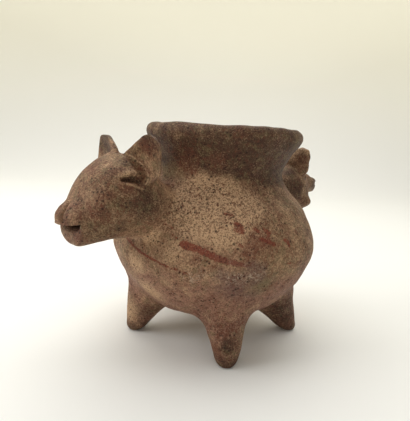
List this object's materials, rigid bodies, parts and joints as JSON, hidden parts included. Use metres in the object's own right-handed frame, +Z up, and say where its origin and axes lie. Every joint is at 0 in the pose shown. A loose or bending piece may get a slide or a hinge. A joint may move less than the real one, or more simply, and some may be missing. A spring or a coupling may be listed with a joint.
{
  "type": "four-legged effigy jar",
  "caption": "Round fired-clay jar with a wide everted mouth, standing on tapered legs, with an eared animal head looking out at each end",
  "frame": {"origin": "on the floor under the middle of the jar, which is within 1 mm of the middle of the bounding box", "axes": "+Z up out of the mouth, -X the way the larger head looks, +X the way the smaller head looks"},
  "size_m": [0.2158, 0.131, 0.14],
  "materials": {
    "bowl_clay": "worn burnished slip, pinkish tan, finely pitted",
    "shoulder_clay": "worn burnished slip, tan with dark specks and red painted strokes",
    "neck_clay": "fire-clouded burnished slip, dark brown",
    "leg_clay": "worn slip, brown, darker at the feet",
    "head_clay": "worn burnished slip, mottled red-brown and olive",
    "ear_clay": "worn slip, red-brown in the hollow"
  },
  "bodies": {
    "root": {"bowl": "bowl_clay", "shoulder": "shoulder_clay", "neck": "neck_clay", "front_left_leg": "leg_clay", "front_right_leg": "leg_clay", "rear_left_leg": "leg_clay", "rear_right_leg": "leg_clay", "front_head": "head_clay", "front_head_left_ear": "ear_clay", "front_head_right_ear": "ear_clay", "rear_head": "head_clay", "rear_head_left_ear": "ear_clay", "rear_head_right_ear": "ear_clay"}
  },
  "joints": []
}
